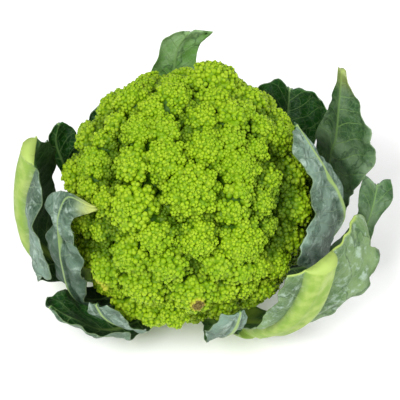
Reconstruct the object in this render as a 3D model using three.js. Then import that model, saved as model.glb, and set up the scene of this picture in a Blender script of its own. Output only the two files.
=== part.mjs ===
// A romanesco head standing on its cut stem, in millimetres, +Z up.
// The origin is the middle of the cut face under the stem.
// The head is one piece, raised from a rounded core by florets that each carry a spiral of buds.
// The stem and every leaf are pieces of their own, a hair's breadth apart from each other.

import * as THREE from "three";
import { ConvexHull } from "three/addons/math/ConvexHull.js";

// Driving dimensions
const HEAD_RADIUS = 76;
const HEAD_CENTRE_HEIGHT = 85;
const STEM_RADIUS = 26;
const STEM_HEIGHT = 34;
const FIT_GAP = 0.3;
const BLADE_THICKNESS = 1.2;
const RIB_SHOULDER = 0.55;
const EDGES_OUT_OF_STEP = 1.7;

// The head: florets stand on a core, and stop at the rim above the flat underside
const CORE_RADIUS = 59;
const RIM_ANGLE = THREE.MathUtils.degToRad(128);
const RIM_RADIUS = 59;
const NECK_RADIUS = 26;
const NECK_ANGLE = THREE.MathUtils.degToRad(153);
const FLORET_DEPTH_RATIO = 0.84;
const FLORET_REACH = 1.16;
const DOME_POINT = 0.35;
const GOLDEN_ANGLE = Math.PI * (3 - Math.sqrt(5));
const FAR_COSINE = 0.8;
const HEAD_CENTRE = new THREE.Vector3(0, 0, HEAD_CENTRE_HEIGHT);

// Buds: how far apart they sit, how far they stand out, and how deep the gaps between them are
const BUD_SPACING = 6.3;
const BUD_RISE = 0.7;
const BUD_VALLEY = 0.8;
const FLORET_CREVICE = 2.2;
const UNDERSIDE_RIDGE = 2.2;
const BUD_PACKING = 0.87;
const CLOSEST_BUDS = 0.55;

// Rings of points under the head: [degrees from the top, how many]
const UNDERSIDE_RINGS = [[133, 44], [139, 34], [146, 24], [155, 14], [167, 7], [178, 1]];
const BRANCHES = 11;

// The side that is looked at is seen from the front and above, from this far
const VIEW_ELEVATION = THREE.MathUtils.degToRad(52);
const VIEW_DISTANCE = 1000;
const LIMB_SHARE = 0.985;
const VIEW_RIGHT = new THREE.Vector3(1, 0, 0);
const VIEW_UP = new THREE.Vector3(0, Math.sin(VIEW_ELEVATION), Math.cos(VIEW_ELEVATION));
const VIEW_NEAR = new THREE.Vector3(0, -Math.cos(VIEW_ELEVATION), Math.sin(VIEW_ELEVATION));

// Florets on that side: [across, up, width, how far the tip stands above the head's radius]
const FRONT_FLORETS = [
  [-58, 20, 25, 0], [-61, 5, 18, -2], [-33, 20, 24, 0], [-45, 45, 17, -3], [-53, 34, 16, -3],
  [-33, 59, 20, 2], [-30, 40, 20, 0], [-20, 53, 17, 0], [-10, 59, 22, 2], [-15, 40, 17, 0],
  [-13, 23, 27, 2], [15, 70, 32, 5], [27, 49, 18, 0], [35, 52, 16, -2], [47, 42, 20, -3],
  [27, 34, 16, 0], [43, 29, 14, -3], [12, 29, 20, 1], [32, 17, 24, 1], [3, 4, 38, 3],
  [32, 2, 15, 0], [53, 11, 21, -5], [48, -4, 22, -4], [29, -8, 16, 0], [51, -20, 17, -6],
  [-34, -8, 31, 2], [-55, -22, 18, -5], [-20, -26, 16, 1], [-35, -37, 28, 0], [-49, -47, 21, 1],
  [-11, -43, 20, 1], [-27, -56, 25, 2], [-35, -66, 17, 3], [-21, -70, 16, 3], [-8, -70, 16, 3],
  [4, -60, 30, 3], [7, -28, 21, 1], [34, -30, 34, 2], [20, -43, 15, 0], [32, -46, 14, 0],
  [42, -44, 13, -1], [46, -55, 17, 1], [54, -43, 16, 0], [23, -59, 18, -2], [-52, -5, 16, -2],
];
const HIDDEN_FLORETS = 100;
const HIDDEN_WIDTH = 25;
const HIDDEN_WIDTH_RANGE = [0.85, 1.15];
const CLOSEST_FLORETS = 0.64;

const COLOURS = {
  curd: 0xa3cc2f,
  stem: 0xc3d49a,
  leafOuter: 0x86a29a,
  leafInner: 0x35662b,
};

function seededRandom(seed) {
  let state = seed;
  return () => {
    state = (state + 0x6d2b79f5) | 0;
    let mixed = Math.imul(state ^ (state >>> 15), 1 | state);
    mixed = (mixed + Math.imul(mixed ^ (mixed >>> 7), 61 | mixed)) ^ mixed;
    return ((mixed ^ (mixed >>> 14)) >>> 0) / 4294967296;
  };
}

function directionAt(polar, azimuth) {
  return new THREE.Vector3(
    Math.sin(polar) * Math.cos(azimuth),
    Math.sin(polar) * Math.sin(azimuth),
    Math.cos(polar),
  );
}

// A direction tilted from an axis by an angle, turned about that axis
function tilted(axis, angle, turn) {
  const side = new THREE.Vector3(0, 0, 1).cross(axis);
  if (side.lengthSq() < 1e-6) {
    side.set(1, 0, 0);
  }
  side.normalize();
  const other = new THREE.Vector3().crossVectors(axis, side);
  return axis.clone().multiplyScalar(Math.cos(angle))
    .addScaledVector(side, Math.sin(angle) * Math.cos(turn))
    .addScaledVector(other, Math.sin(angle) * Math.sin(turn));
}

function makeFloret(direction, width, standOut) {
  return {
    axis: direction,
    half: width / 2,
    top: HEAD_RADIUS + standOut,
    depth: (width / 2) * FLORET_DEPTH_RATIO,
  };
}

// The florets on the seen side, then a golden-angle spiral of them wherever there is room
function layOutFlorets() {
  const random = seededRandom(11);
  const florets = FRONT_FLORETS.map(([across, up, width, standOut]) => {
    const reach = Math.hypot(across, up);
    const shrink = Math.min(1, (HEAD_RADIUS * LIMB_SHARE) / reach);
    const near = Math.sqrt(HEAD_RADIUS ** 2 - (reach * shrink) ** 2);
    const closer = shrink * (1 - near / VIEW_DISTANCE);
    const direction = new THREE.Vector3()
      .addScaledVector(VIEW_RIGHT, across * closer)
      .addScaledVector(VIEW_UP, up * closer)
      .addScaledVector(VIEW_NEAR, near)
      .normalize();
    return makeFloret(direction, width, standOut);
  });
  const lowest = Math.cos(RIM_ANGLE);
  for (let index = 0; index < HIDDEN_FLORETS; index += 1) {
    const height = 1 - (1 - lowest) * ((index + 0.5) / HIDDEN_FLORETS);
    const direction = directionAt(Math.acos(height), index * GOLDEN_ANGLE);
    const width = HIDDEN_WIDTH * THREE.MathUtils.lerp(...HIDDEN_WIDTH_RANGE, random());
    const crowded = florets.some((floret) => {
      const apart = floret.axis.angleTo(direction) * HEAD_RADIUS;
      return apart < (floret.half + width / 2) * CLOSEST_FLORETS;
    });
    if (!crowded) {
      florets.push(makeFloret(direction, width, -1 - 2 * random()));
    }
  }
  return florets;
}

// How far a floret's dome has fallen from its tip, and how steeply, at a share of its half width
function domeFall(floret, apart) {
  return {
    fall: floret.depth * (DOME_POINT * apart + (1 - DOME_POINT) * apart * apart),
    slope: (floret.depth * (DOME_POINT + 2 * (1 - DOME_POINT) * apart)) / floret.half,
  };
}

function shareApart(floret, direction) {
  return (floret.axis.angleTo(direction) * HEAD_RADIUS) / floret.half;
}

// Distance from the head's centre to the florets' common surface, and the floret met there
function floretSurface(florets, direction) {
  let radius = CORE_RADIUS;
  let owner = -1;
  florets.forEach((floret, index) => {
    if (floret.axis.dot(direction) < FAR_COSINE) {
      return;
    }
    const height = floret.top - domeFall(floret, shareApart(floret, direction)).fall;
    if (height > radius) {
      radius = height;
      owner = index;
    }
  });
  return { radius, owner };
}

// The place on that surface in a direction, moved out square to the dome of the floret there
function raisedPoint(florets, direction, rise) {
  const { radius, owner } = floretSurface(florets, direction);
  const outward = direction.clone();
  if (owner >= 0) {
    const floret = florets[owner];
    const away = direction.clone().sub(floret.axis);
    away.addScaledVector(direction, -away.dot(direction));
    if (away.lengthSq() > 1e-9) {
      const slope = domeFall(floret, shareApart(floret, direction)).slope;
      outward.addScaledVector(away.normalize(), slope).normalize();
    }
  }
  return direction.clone().multiplyScalar(radius).addScaledVector(outward, rise);
}

// The underside is a shallow cone from the rim in to the neck, then flat over the stem
function undersideRadius(polar) {
  const floor = HEAD_CENTRE_HEIGHT - STEM_HEIGHT - FIT_GAP;
  if (polar > NECK_ANGLE) {
    return -floor / Math.cos(polar);
  }
  const rimDepth = -RIM_RADIUS / Math.tan(RIM_ANGLE);
  const slope = (floor - rimDepth) / (RIM_RADIUS - NECK_RADIUS);
  return (rimDepth + RIM_RADIUS * slope) / (slope * Math.sin(polar) - Math.cos(polar));
}

// One bud for each turn of a golden-angle spiral round each floret, kept where the floret shows
function layOutBuds(florets) {
  const buds = [];
  florets.forEach((floret, index) => {
    const reach = floret.half * FLORET_REACH;
    const count = Math.round((Math.PI * reach * reach) / (BUD_SPACING * BUD_SPACING * BUD_PACKING));
    for (let step = 0; step < count; step += 1) {
      const away = (reach * Math.sqrt((step + 0.25) / count)) / HEAD_RADIUS;
      const direction = tilted(floret.axis, away, step * GOLDEN_ANGLE + index);
      const { owner } = floretSurface(florets, direction);
      const onTop = Math.acos(direction.z) < RIM_ANGLE;
      const crowded = buds.some((bud) => (
        bud.direction.angleTo(direction) * HEAD_RADIUS < BUD_SPACING * CLOSEST_BUDS
      ));
      if (owner === index && onTop && !crowded) {
        buds.push({ direction, owner, point: raisedPoint(florets, direction, BUD_RISE) });
      }
    }
  });
  return buds;
}

// Rings of points under the head, where the branches run in to the neck as low ridges
function layOutUnderside() {
  const points = [];
  UNDERSIDE_RINGS.forEach(([degrees, count], ring) => {
    const polar = THREE.MathUtils.degToRad(degrees);
    for (let step = 0; step < count; step += 1) {
      const azimuth = ((step + 0.37 * ring) / count) * 2 * Math.PI;
      const wave = Math.cos(BRANCHES * azimuth) - 1;
      const ridge = polar < NECK_ANGLE ? UNDERSIDE_RIDGE * wave : 0;
      const direction = directionAt(polar, azimuth);
      const point = direction.clone().multiplyScalar(undersideRadius(polar) + ridge);
      points.push({ direction, owner: -1, point });
    }
  });
  return points;
}

// A closed skin: each bud is a little peak, and the gaps between buds are its valleys
function buildCurd() {
  const florets = layOutFlorets();
  const peaks = [...layOutBuds(florets), ...layOutUnderside()];
  const hull = new ConvexHull().setFromPoints(peaks.map((peak) => peak.direction));
  const peakOf = new Map(peaks.map((peak, index) => [peak.direction, index]));
  const positions = peaks.map((peak) => peak.point);
  const valleyAcross = new Map();
  hull.faces.forEach((face) => {
    const corners = [];
    let edge = face.edge;
    do {
      corners.push(peakOf.get(edge.head().point));
      edge = edge.next;
    } while (edge !== face.edge);
    const middle = new THREE.Vector3();
    corners.forEach((corner) => middle.add(peaks[corner].direction));
    middle.normalize();
    const owners = corners.map((corner) => peaks[corner].owner);
    const polar = Math.acos(middle.z);
    const valley = positions.length;
    if (owners.some((owner) => owner >= 0)) {
      const alike = owners.every((owner) => owner === owners[0]);
      const { radius } = floretSurface(florets, middle);
      positions.push(alike
        ? raisedPoint(florets, middle, -BUD_VALLEY)
        : middle.multiplyScalar(radius - FLORET_CREVICE));
    } else {
      const ridge = polar < NECK_ANGLE ? UNDERSIDE_RIDGE : 0;
      positions.push(middle.multiplyScalar(undersideRadius(polar) - ridge));
    }
    corners.forEach((corner, index) => {
      valleyAcross.set(`${corner},${corners[(index + 1) % 3]}`, valley);
    });
  });
  const triangles = [];
  valleyAcross.forEach((valley, key) => {
    const [from, to] = key.split(",");
    const opposite = valleyAcross.get(`${to},${from}`);
    triangles.push(Number(from), opposite, valley);
  });
  const geometry = solidFrom(positions, triangles);
  geometry.translate(HEAD_CENTRE.x, HEAD_CENTRE.y, HEAD_CENTRE.z);
  return geometry;
}

function solidFrom(points, triangles) {
  const geometry = new THREE.BufferGeometry();
  const values = new Float32Array(points.flatMap((point) => [point.x, point.y, point.z]));
  geometry.setAttribute("position", new THREE.BufferAttribute(values, 3));
  geometry.setIndex(triangles);
  geometry.computeVertexNormals();
  return geometry;
}

// The stem is turned, a little narrower at the cut, with its corners just broken
function buildStem() {
  const profile = [
    [0, 0], [STEM_RADIUS - 3, 0], [STEM_RADIUS - 1.5, 1.5], [STEM_RADIUS, 9],
    [STEM_RADIUS, 26], [STEM_RADIUS - 2, STEM_HEIGHT], [0, STEM_HEIGHT],
  ];
  const lathe = new THREE.LatheGeometry(profile.map(([x, y]) => new THREE.Vector2(x, y)), 32);
  lathe.rotateX(Math.PI / 2);
  return lathe;
}

// A leaf is drawn by its midrib and its two edges, each a smooth line through a few places.
// A place is [degrees round the stem, distance from the axis, height above the cut face].
// plus is the edge on the side where the degrees grow, minus the other one.
// The blade begins at the share `bare` of the midrib; below it there is only the stalk.
// rib is [half width, depth] at the stalk's foot and at the tip. bulge bows the blade outward.
// ruffle is [height, waves] at the edges, and teeth is [share of the width, count].
const LEAVES = [
  {
    name: "leaf_left_outer", steps: 13, columns: 4, bare: 0.17,
    midrib: [[178, 26.8, 13], [178, 46, 12], [178, 63, 14], [178, 78, 21], [178, 88, 34],
      [178, 92, 54], [178, 92, 76], [178, 89, 100], [178, 84, 122]],
    plus: [[188, 60, 18], [193, 80, 24], [197, 90, 37], [203, 90, 50], [209, 88, 59],
      [211, 87, 68], [205, 89, 80], [199, 87, 92], [194, 82, 104], [189, 81, 114],
      [183, 83, 121]],
    minus: [[168, 60, 18], [164, 78, 28], [161, 84, 44], [159, 82, 62], [158, 80, 80],
      [159, 79, 94], [163, 80, 107], [172, 83, 119]],
    rib: [9, 7, 9, 7], bulge: 3, ruffle: [1.4, 4], teeth: [0.08, 5],
  },
  {
    name: "leaf_left_front", steps: 15, columns: 4, bare: 0.18,
    midrib: [[213, 26.8, 25], [213, 45, 26], [213, 60, 30], [214, 72, 42], [214, 78, 58],
      [213, 80, 78], [211, 80, 98], [208, 77, 115], [208, 71, 127], [215, 67, 129],
      [221, 65, 129]],
    plus: [[221, 52, 29], [223, 66, 38], [225, 75, 54], [224, 78, 76], [223, 78, 94],
      [220, 76, 107], [215, 76, 114], [217, 71, 121], [222, 66, 127]],
    minus: [[206, 52, 29], [204, 68, 39], [204, 79, 56], [202, 83, 74], [201, 83, 90],
      [199, 81, 102], [196, 78, 113], [199, 75, 123], [207, 71, 129], [216, 67, 131],
      [222, 65, 131]],
    rib: [4, 4, 1, 0.8], bulge: 1.5, ruffle: [1.4, 5], teeth: [0.1, 6],
  },
  {
    name: "leaf_left_low", steps: 11, columns: 4, bare: 0.2,
    midrib: [[228, 26.8, 12], [228, 45, 12], [227, 60, 16], [224, 73, 26], [220, 82, 38],
      [216, 88, 44], [213, 92, 49]],
    plus: [[240, 48, 16], [243, 60, 25], [242, 71, 37], [238, 79, 45], [230, 86, 47],
      [223, 91, 48], [216, 92, 51]],
    minus: [[207, 48, 20], [201, 58, 24], [199, 70, 29], [200, 80, 34], [203, 87, 39],
      [208, 92, 45]],
    rib: [8, 6, 1.6, 1.2], bulge: 3, ruffle: [2, 3], teeth: [0.08, 4],
  },
  {
    name: "leaf_left_small", steps: 8, columns: 3, bare: 0.2,
    midrib: [[240, 26.8, 25], [240, 45, 27], [239, 60, 33], [236, 70, 45], [233, 77, 58],
      [231, 79, 68]],
    plus: [[248, 50, 29], [250, 62, 37], [250, 72, 52], [245, 77, 66], [237, 79, 74]],
    minus: [[232, 50, 29], [231, 63, 36], [228, 75, 47], [226, 80, 56], [227, 81, 65]],
    rib: [4.5, 4, 1.4, 1], bulge: 2, ruffle: [1, 3], teeth: [0.08, 3],
  },
  {
    name: "leaf_left_back", steps: 11, columns: 3, bare: 0.2,
    midrib: [[152, 26.8, 25], [152, 45, 26], [152, 61, 30], [152, 74, 45], [152, 82, 63],
      [151, 88, 81], [149, 87, 94]],
    plus: [[158, 56, 30], [156, 72, 44], [155, 82, 62], [155, 88, 77], [154, 90, 88],
      [151, 88, 96]],
    minus: [[143, 56, 30], [141, 70, 44], [142, 79, 62], [143, 79, 78], [144, 82, 89],
      [147, 86, 95]],
    rib: [6, 4.5, 1.6, 1.2], bulge: 2, ruffle: [1.6, 3], teeth: [0.1, 4],
  },
  {
    name: "leaf_back_low", steps: 11, columns: 3, bare: 0.2,
    midrib: [[125, 26.8, 13], [125, 45, 12], [125, 62, 18], [125, 77, 32], [125, 85, 50],
      [124, 87, 66], [123, 88, 80]],
    plus: [[138, 50, 15], [146, 64, 21], [150, 78, 29], [150, 87, 40], [145, 88, 52],
      [137, 87, 64], [130, 88, 76]],
    minus: [[113, 50, 15], [107, 64, 22], [104, 78, 34], [102, 88, 48], [105, 90, 62],
      [114, 89, 76]],
    rib: [8, 6, 1.8, 1.4], bulge: 3, ruffle: [1.8, 3], teeth: [0.1, 4],
  },
  {
    name: "leaf_back", steps: 12, columns: 3, bare: 0.18,
    midrib: [[98, 26.8, 25], [98, 45, 26], [98, 60, 31], [97, 73, 46], [97, 81, 66],
      [96, 86, 90], [94, 90, 110], [90, 92, 121]],
    plus: [[113, 56, 31], [117, 70, 44], [117, 79, 62], [111, 83, 84], [103, 88, 106],
      [99, 90, 119], [92, 92, 123]],
    minus: [[83, 56, 31], [79, 70, 44], [78, 79, 62], [84, 83, 84], [86, 89, 104],
      [83, 96, 112], [80, 97, 118]],
    rib: [7, 5, 1.6, 1.2], bulge: 2, ruffle: [1.4, 3], teeth: [0.08, 3],
  },
  {
    name: "leaf_back_side", steps: 10, columns: 3, bare: 0.2,
    midrib: [[75, 26.8, 13], [75, 45, 12], [75, 62, 17], [75, 79, 30], [75, 90, 47],
      [75, 93, 68], [75, 93, 90]],
    plus: [[83, 50, 15], [91, 64, 21], [95, 80, 33], [97, 92, 49], [93, 95, 67], [84, 94, 84]],
    minus: [[69, 50, 15], [66, 64, 21], [64, 81, 33], [65, 93, 49], [67, 95, 67],
      [70, 94, 84]],
    rib: [4.2, 5, 1.8, 1.4], bulge: 3, ruffle: [1.8, 3], teeth: [0.1, 4],
  },
  {
    name: "leaf_back_right", steps: 12, columns: 3, bare: 0.18,
    midrib: [[51, 26.8, 13], [51, 45, 12], [51, 62, 18], [51, 77, 32], [50, 86, 50],
      [50, 91, 70], [50, 92, 95]],
    plus: [[57, 50, 15], [59, 64, 21], [60, 78, 34], [62, 85, 50], [64, 87, 66],
      [65, 87, 80], [62, 87, 93], [56, 90, 98]],
    minus: [[45, 50, 15], [42, 66, 21], [41, 82, 35], [39, 95, 51], [37, 102, 70], [37, 104, 86],
      [41, 102, 96]],
    rib: [4.2, 5, 1.8, 1.4], bulge: 3, ruffle: [2, 3], teeth: [0.08, 4],
  },
  {
    name: "leaf_right_back", steps: 14, columns: 4, bare: 0.16,
    midrib: [[26, 26.8, 13], [26, 45, 12], [26, 62, 17], [26, 78, 30], [26, 88, 48],
      [26, 93, 68], [26, 95, 88], [27, 96, 108], [28, 97, 139]],
    plus: [[32, 50, 15], [35, 66, 20], [36, 82, 32], [37, 91, 48], [37, 93, 66],
      [36, 94, 82], [34, 95, 97], [32, 96, 112], [29, 97, 137]],
    minus: [[20, 50, 15], [17, 66, 18], [14, 84, 29], [11, 95, 46], [9, 99, 62], [9, 102, 77],
      [11, 110, 90], [15, 110, 103], [21, 104, 114], [26, 99, 136]],
    rib: [4.2, 5, 2.6, 2.2], bulge: 2, ruffle: [2.2, 4], teeth: [0.1, 4],
  },
  {
    name: "leaf_right_outer", steps: 11, columns: 3, bare: 0.18,
    midrib: [[1, 26.8, 13], [1, 45, 11], [1, 62, 13], [1, 82, 22], [1, 96, 38], [1, 103, 54],
      [2, 106, 70], [4, 108, 84]],
    plus: [[7, 50, 13], [7, 66, 17], [6, 85, 28], [5, 94, 44], [4, 96, 58], [4, 97, 70],
      [5, 98, 82], [6, 100, 90]],
    minus: [[355, 50, 13], [353, 68, 15], [353, 90, 24], [354, 104, 40], [357, 106, 50],
      [359, 109, 64], [2, 119, 78], [6, 117, 87]],
    rib: [4.2, 5, 1.6, 1.2], bulge: 2, ruffle: [1.6, 3], teeth: [0.1, 3],
  },
  {
    name: "leaf_right_inner", steps: 15, columns: 4, bare: 0.16,
    midrib: [[357, 26.8, 25], [357, 45, 26], [357, 60, 31], [357, 73, 44], [357, 82, 60],
      [356, 86, 77], [356, 81, 97], [356, 74, 114], [357, 66, 130], [3, 58, 142]],
    plus: [[6, 56, 31], [9, 70, 44], [9, 80, 60], [8, 88, 76], [7, 85, 91], [8, 80, 101],
      [7, 73, 113], [6, 64, 131], [4, 59, 142]],
    minus: [[348, 56, 31], [344, 70, 44], [340, 80, 58], [331, 83, 70], [321, 81, 80],
      [316, 78, 90], [318, 77, 100], [328, 77, 105], [337, 75, 111], [341, 70, 122],
      [344, 63, 133], [347, 56, 143], [2, 57, 143]],
    rib: [7, 5, 1.8, 1.4], bulge: 1.5, ruffle: [1.2, 3], teeth: [0.06, 4],
  },
  {
    name: "leaf_right_front", steps: 15, columns: 4, bare: 0.18,
    midrib: [[310, 26.8, 13], [310, 44, 15], [311, 58, 22], [314, 71, 36], [318, 82, 54],
      [321, 87, 75], [323, 90, 98]],
    plus: [[319, 50, 16], [322, 66, 23], [327, 87, 31], [333, 102, 45], [340, 111, 53],
      [346, 114, 64], [350, 107, 77], [354, 101, 84], [354, 95, 88]],
    minus: [[299, 50, 22], [298, 62, 33], [298, 73, 47], [299, 79, 60], [302, 82, 73],
      [305, 83, 85], [308, 83, 96]],
    rib: [11, 8, 11, 8], bulge: 4, ruffle: [1.6, 3], teeth: [0.1, 6],
  },
  {
    name: "leaf_front_small", steps: 9, columns: 3, bare: 0.2,
    midrib: [[287, 26.8, 25], [287, 45, 26], [288, 58, 32], [289, 69, 47], [290, 76, 63],
      [291, 79, 78]],
    plus: [[293, 54, 32], [293, 66, 42], [294, 75, 55], [295, 79, 66], [293, 79, 79]],
    minus: [[278, 54, 31], [277, 67, 42], [276, 76, 56], [277, 79, 68], [283, 79, 79]],
    rib: [6, 4.5, 1.4, 1.2], bulge: 1.5, ruffle: [1.2, 3], teeth: [0.1, 3],
  },
];

function placeAt([degrees, distance, height]) {
  const azimuth = THREE.MathUtils.degToRad(degrees);
  return new THREE.Vector3(distance * Math.cos(azimuth), distance * Math.sin(azimuth), height);
}

function smoothLine(points) {
  return new THREE.CatmullRomCurve3(points, false, "centripetal");
}

// Edge places near 0 and 360 degrees are the same direction, so lines are drawn in space
function leafLines(leaf) {
  const midrib = smoothLine(leaf.midrib.map(placeAt));
  const bladeStart = midrib.getPointAt(leaf.bare);
  const plus = smoothLine([bladeStart, ...leaf.plus.map(placeAt)]);
  const minus = smoothLine([bladeStart, ...leaf.minus.map(placeAt)]);
  return { midrib, plus, minus };
}

// One row across the leaf: its inner face's points, its outward normal and the rib's size there
function leafRow(leaf, lines, along) {
  const middle = lines.midrib.getPointAt(along);
  const upward = lines.midrib.getTangentAt(along);
  const radial = new THREE.Vector3(middle.x, middle.y, 0).normalize();
  const around = new THREE.Vector3(-radial.y, radial.x, 0);
  const share = Math.max(0, (along - leaf.bare) / (1 - leaf.bare));
  const [footHalf, footDepth, tipHalf, tipDepth] = leaf.rib;
  const ribHalf = THREE.MathUtils.lerp(footHalf, tipHalf, along);
  const ribDepth = THREE.MathUtils.lerp(footDepth, tipDepth, along);
  const sideEdge = (line, sign) => {
    const edge = share > 0 ? line.getPointAt(share) : middle.clone();
    const span = edge.clone().sub(middle);
    const tooth = 1 - leaf.teeth[0] * Math.abs(Math.sin(Math.PI * leaf.teeth[1] * share + sign));
    const least = ribHalf + BLADE_THICKNESS;
    if (span.length() * tooth < least) {
      const narrow = around.clone().multiplyScalar(sign);
      return middle.clone().addScaledVector(narrow, least);
    }
    return middle.clone().addScaledVector(span, tooth);
  };
  const plus = sideEdge(lines.plus, 1);
  const minus = sideEdge(lines.minus, -1);
  const across = plus.clone().sub(minus);
  const outward = across.cross(upward).normalize();
  return { share, middle, plus, minus, outward, ribHalf, ribDepth };
}

// Points across a row, from the minus edge over the rib to the plus edge, on both faces
function rowPoints(leaf, row) {
  const [ruffleHeight, waves] = leaf.ruffle;
  const side = (edge, sign) => {
    const span = edge.clone().sub(row.middle);
    const width = span.length();
    const distances = [row.ribHalf * RIB_SHOULDER, row.ribHalf];
    for (let column = 1; column <= leaf.columns; column += 1) {
      distances.push(THREE.MathUtils.lerp(row.ribHalf, width, column / leaf.columns));
    }
    return distances.map((distance) => {
      const part = distance / width;
      const free = Math.max(0, width - row.ribHalf - 2 * BLADE_THICKNESS) / width;
      const bow = leaf.bulge * 4 * part * (1 - part) * free;
      const wave = Math.sin(2 * Math.PI * waves * row.share + EDGES_OUT_OF_STEP * sign);
      const lift = bow + ruffleHeight * wave * part * part * free;
      const inner = row.middle.clone().addScaledVector(span, part).addScaledVector(row.outward, lift);
      const round = Math.sqrt(Math.max(0, 1 - (distance / row.ribHalf) ** 2));
      const thick = BLADE_THICKNESS + row.ribDepth * round;
      return { inner, outer: inner.clone().addScaledVector(row.outward, thick) };
    });
  };
  const centre = {
    inner: row.middle.clone(),
    outer: row.middle.clone().addScaledVector(row.outward, BLADE_THICKNESS + row.ribDepth),
  };
  return [...side(row.minus, -1).reverse(), centre, ...side(row.plus, 1)];
}

// Both faces of the blade are split into triangles alike, so they never cross
function buildLeaf(leaf) {
  const lines = leafLines(leaf);
  const rows = [];
  for (let step = 0; step < leaf.steps; step += 1) {
    const row = leafRow(leaf, lines, step / (leaf.steps - 1));
    rows.push(rowPoints(leaf, row));
  }
  const across = rows[0].length;
  const points = [
    ...rows.flatMap((row) => row.map((point) => point.inner)),
    ...rows.flatMap((row) => row.map((point) => point.outer)),
  ];
  const outerStart = rows.length * across;
  const triangles = [];
  const quad = (a, b, c, d) => triangles.push(a, b, c, a, c, d);
  for (let row = 0; row + 1 < rows.length; row += 1) {
    for (let column = 0; column + 1 < across; column += 1) {
      const here = row * across + column;
      const above = here + across;
      triangles.push(here, above, above + 1, here, above + 1, here + 1);
      const outer = [here, here + 1, above + 1, above].map((index) => index + outerStart);
      triangles.push(outer[0], outer[2], outer[3], outer[0], outer[1], outer[2]);
    }
    const first = row * across;
    const last = first + across - 1;
    quad(first, first + outerStart, first + across + outerStart, first + across);
    quad(last, last + across, last + across + outerStart, last + outerStart);
  }
  for (let column = 0; column + 1 < across; column += 1) {
    const tip = (rows.length - 1) * across + column;
    quad(column, column + 1, column + 1 + outerStart, column + outerStart);
    quad(tip, tip + outerStart, tip + 1 + outerStart, tip + 1);
  }
  return solidFrom(points, triangles);
}

function addPiece(group, name, geometry, colour) {
  const material = new THREE.MeshStandardMaterial({ color: colour, roughness: 0.6, metalness: 0 });
  const mesh = new THREE.Mesh(geometry, material);
  mesh.name = name;
  group.add(mesh);
}

const romanesco = new THREE.Group();
addPiece(romanesco, "curd", buildCurd(), COLOURS.curd);
addPiece(romanesco, "stem", buildStem(), COLOURS.stem);
LEAVES.forEach((leaf, index) => {
  addPiece(romanesco, leaf.name, buildLeaf(leaf), index % 2 ? COLOURS.leafInner : COLOURS.leafOuter);
});

export default romanesco;
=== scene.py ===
import math
from types import SimpleNamespace

import bpy
import numpy as np
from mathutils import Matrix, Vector


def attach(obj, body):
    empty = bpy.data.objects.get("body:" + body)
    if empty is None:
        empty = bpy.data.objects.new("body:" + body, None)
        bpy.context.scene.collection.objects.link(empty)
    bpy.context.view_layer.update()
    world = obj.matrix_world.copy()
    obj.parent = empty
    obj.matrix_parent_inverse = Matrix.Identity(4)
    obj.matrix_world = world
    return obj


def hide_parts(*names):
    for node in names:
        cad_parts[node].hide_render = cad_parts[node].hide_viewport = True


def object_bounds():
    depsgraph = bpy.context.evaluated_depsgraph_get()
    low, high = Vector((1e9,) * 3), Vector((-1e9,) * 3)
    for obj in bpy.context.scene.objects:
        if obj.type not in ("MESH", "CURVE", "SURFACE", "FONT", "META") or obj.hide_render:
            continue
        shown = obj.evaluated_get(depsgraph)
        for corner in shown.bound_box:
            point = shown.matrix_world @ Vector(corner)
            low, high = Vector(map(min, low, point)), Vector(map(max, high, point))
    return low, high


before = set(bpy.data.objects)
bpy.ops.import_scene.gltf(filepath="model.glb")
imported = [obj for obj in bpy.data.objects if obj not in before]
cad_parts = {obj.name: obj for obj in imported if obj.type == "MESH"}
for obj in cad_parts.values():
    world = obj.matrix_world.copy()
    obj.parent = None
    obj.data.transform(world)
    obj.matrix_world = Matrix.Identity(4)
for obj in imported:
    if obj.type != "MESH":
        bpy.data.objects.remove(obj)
cad_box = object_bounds()

# A romanesco head with its leaves, on its cut stem, on a white table.
# Lengths are in millimetres until a mesh is made.
MM = 0.001
HEAD_CENTRE = np.array([0.0, 0.0, 85.0])
HEAD_RADIUS = 76
CORE_RADIUS = 59
STEM_RADIUS = 26
STEM_HEIGHT = 34
FIT_GAP = 0.3
RIM_ANGLE = math.radians(128)
RIM_RADIUS = 59
NECK_RADIUS = 26
NECK_ANGLE = math.radians(153)
GOLDEN_ANGLE = math.pi * (3 - math.sqrt(5))

# The camera looks from the front and above
VIEW_ELEVATION = math.radians(52)
VIEW_DISTANCE = 1000
VIEW_RIGHT = np.array([1.0, 0.0, 0.0])
VIEW_UP = np.array([0.0, math.sin(VIEW_ELEVATION), math.cos(VIEW_ELEVATION)])
VIEW_NEAR = np.array([0.0, -math.cos(VIEW_ELEVATION), math.sin(VIEW_ELEVATION)])
FRAME_WIDTH = 226.4
FRAME_SHIFT = (6.8, -2.3)
SENSOR_WIDTH = 36
LIMB_SHARE = 0.985

# The room, in metres: a white sky, two round lamps as (place, size, watts), and a table
SKY_STRENGTH = 0.62
LAMPS = {"key": ((-0.55, -0.75, 1.3), 0.7, 21), "fill": ((0.9, -0.3, 0.9), 0.9, 8)}
LAMPS_FACE = (0, 0, 0.08)
TABLE_REACH = 3.0

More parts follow.
